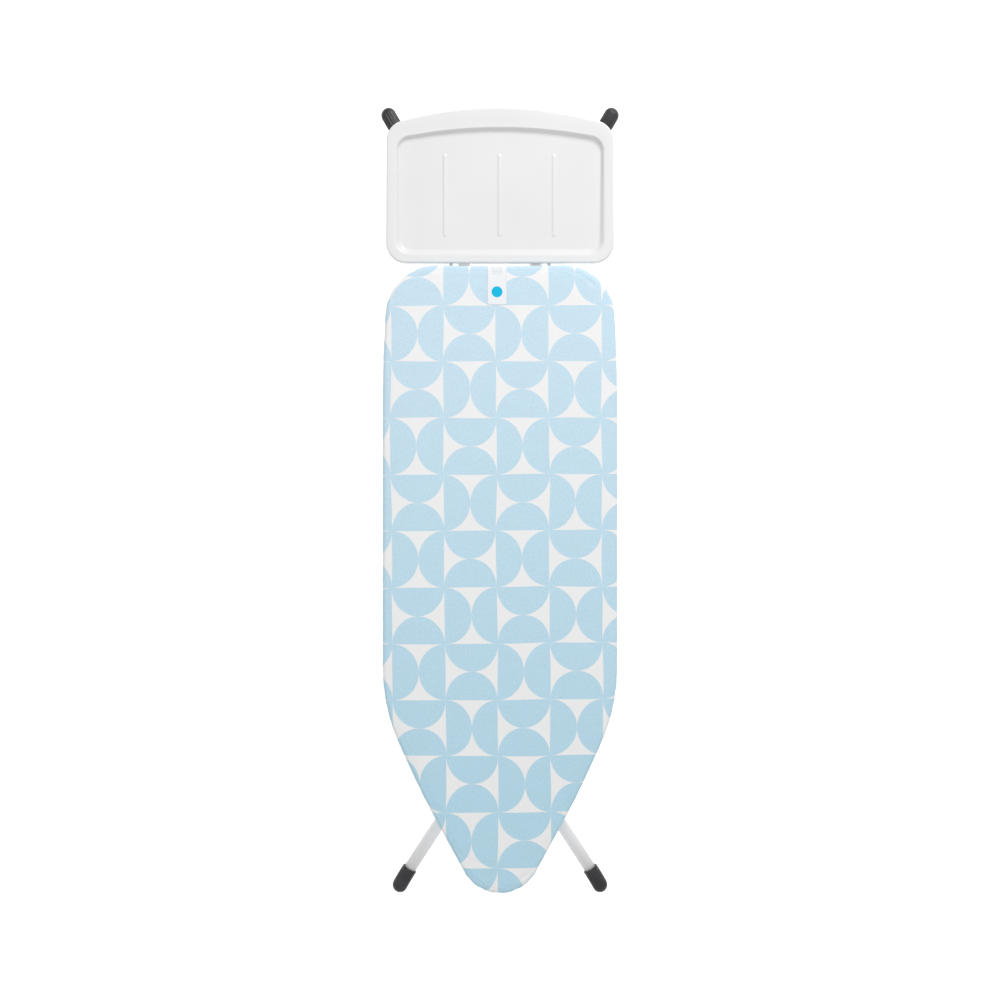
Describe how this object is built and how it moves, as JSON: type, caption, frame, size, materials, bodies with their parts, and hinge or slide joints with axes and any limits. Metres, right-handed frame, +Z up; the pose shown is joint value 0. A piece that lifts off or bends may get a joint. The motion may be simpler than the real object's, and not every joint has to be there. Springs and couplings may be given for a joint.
{
  "type": "ironing board",
  "caption": "Folding ironing board with a padded fabric cover, crossed bent-tube legs, an adjustable height latch and a pull-out steam-unit tray, stored folded flat.",
  "frame": {"origin": "bottom centre of the folded board's box, on the floor under it", "axes": "+Y along the board towards the steam-unit tray, +Z up out of the ironing surface, +X across"},
  "size_m": [0.4918, 1.6158, 0.1163],
  "materials": {
    "white_paint": "satin white powder coat",
    "zinc": "zinc plated",
    "charcoal_plastic": "moulded, fine grain",
    "grey_plastic": "moulded",
    "foam": "open foam",
    "cloth": "printed cotton, pale blue half discs on off-white",
    "label_satin": "satin ribbon"
  },
  "bodies": {
    "board": {"board_rim": "white_paint", "deck_mesh": "white_paint", "cross_strip_nose": "white_paint", "cross_strip_hinge": "white_paint", "cross_strip_middle": "white_paint", "cross_strip_wide": "white_paint", "hinge_bracket_left": "white_paint", "hinge_bracket_right": "white_paint", "guide_rail_left": "zinc", "guide_rail_right": "zinc", "height_rack": "zinc", "rack_spacer_middle": "grey_plastic", "rack_spacer_wide": "grey_plastic", "tray_sleeve_left": "charcoal_plastic", "tray_sleeve_right": "charcoal_plastic", "lock_bracket": "zinc", "lock_pin": "zinc", "pad": "foam", "cover": "cloth", "hem_elastic": "cloth", "size_label": "label_satin"},
    "outer_legs": {"outer_leg_left": "white_paint", "outer_leg_right": "white_paint", "outer_foot_cap_left": "charcoal_plastic", "outer_foot_cap_right": "charcoal_plastic", "outer_leg_brace": "white_paint", "outer_tube_plug_left": "charcoal_plastic", "outer_tube_plug_right": "charcoal_plastic", "hinge_rod": "zinc", "hinge_rod_cap_left": "charcoal_plastic", "hinge_rod_cap_right": "charcoal_plastic", "pivot_pin_left": "zinc", "pivot_pin_right": "zinc", "pivot_spacer_left": "charcoal_plastic", "pivot_spacer_right": "charcoal_plastic"},
    "inner_legs": {"inner_leg_left": "white_paint", "inner_leg_right": "white_paint", "inner_foot_cap_left": "charcoal_plastic", "inner_foot_cap_right": "charcoal_plastic", "inner_leg_brace": "white_paint", "inner_tube_plug_left": "charcoal_plastic", "inner_tube_plug_right": "charcoal_plastic", "slide_rod": "zinc"},
    "glides": {"glide_block_left": "charcoal_plastic", "glide_block_right": "charcoal_plastic"},
    "latch": {"latch_plate": "zinc", "latch_handle_rod": "zinc", "latch_grip": "charcoal_plastic", "latch_spring": "zinc"},
    "lock": {"transport_hook": "charcoal_plastic"},
    "tray": {"steam_tray": "white_paint", "tray_support_wire": "zinc", "tray_stop_left": "charcoal_plastic", "tray_stop_right": "charcoal_plastic", "tray_clip_left": "charcoal_plastic", "tray_clip_right": "charcoal_plastic"}
  },
  "joints": [
    {"name": "leg_fold", "type": "hinge", "parent": "board", "child": "outer_legs", "pos_m": [0, -0.415, 0.05767], "axis": [-1, 0, 0], "range_deg": [0, 46.55]},
    {"name": "leg_cross", "type": "hinge", "parent": "outer_legs", "child": "inner_legs", "pos_m": [0, 0, 0.04317], "axis": [1, 0, 0], "range_deg": [0, 93.2]},
    {"name": "glide_turn", "type": "hinge", "parent": "inner_legs", "child": "glides", "pos_m": [0, 0.415, 0.05767], "axis": [-1, 0, 0], "range_deg": [0, 46.6]},
    {"name": "latch_turn", "type": "hinge", "parent": "glides", "child": "latch", "pos_m": [0, 0.415, 0.05767], "axis": [1, 0, 0], "range_deg": [0, 9]},
    {"name": "transport_lock", "type": "hinge", "parent": "board", "child": "lock", "pos_m": [0, -0.4973, 0.079], "axis": [1, 0, 0], "range_deg": [0, 90]},
    {"name": "tray_slide", "type": "slide", "parent": "board", "child": "tray", "axis": [0, 1, 0], "range_m": [0, 0.085]}
  ],
  "couplings": [
    {"joint": "leg_cross", "follows": "leg_fold", "ratio": 2},
    {"joint": "glide_turn", "follows": "leg_fold", "ratio": 1}
  ]
}
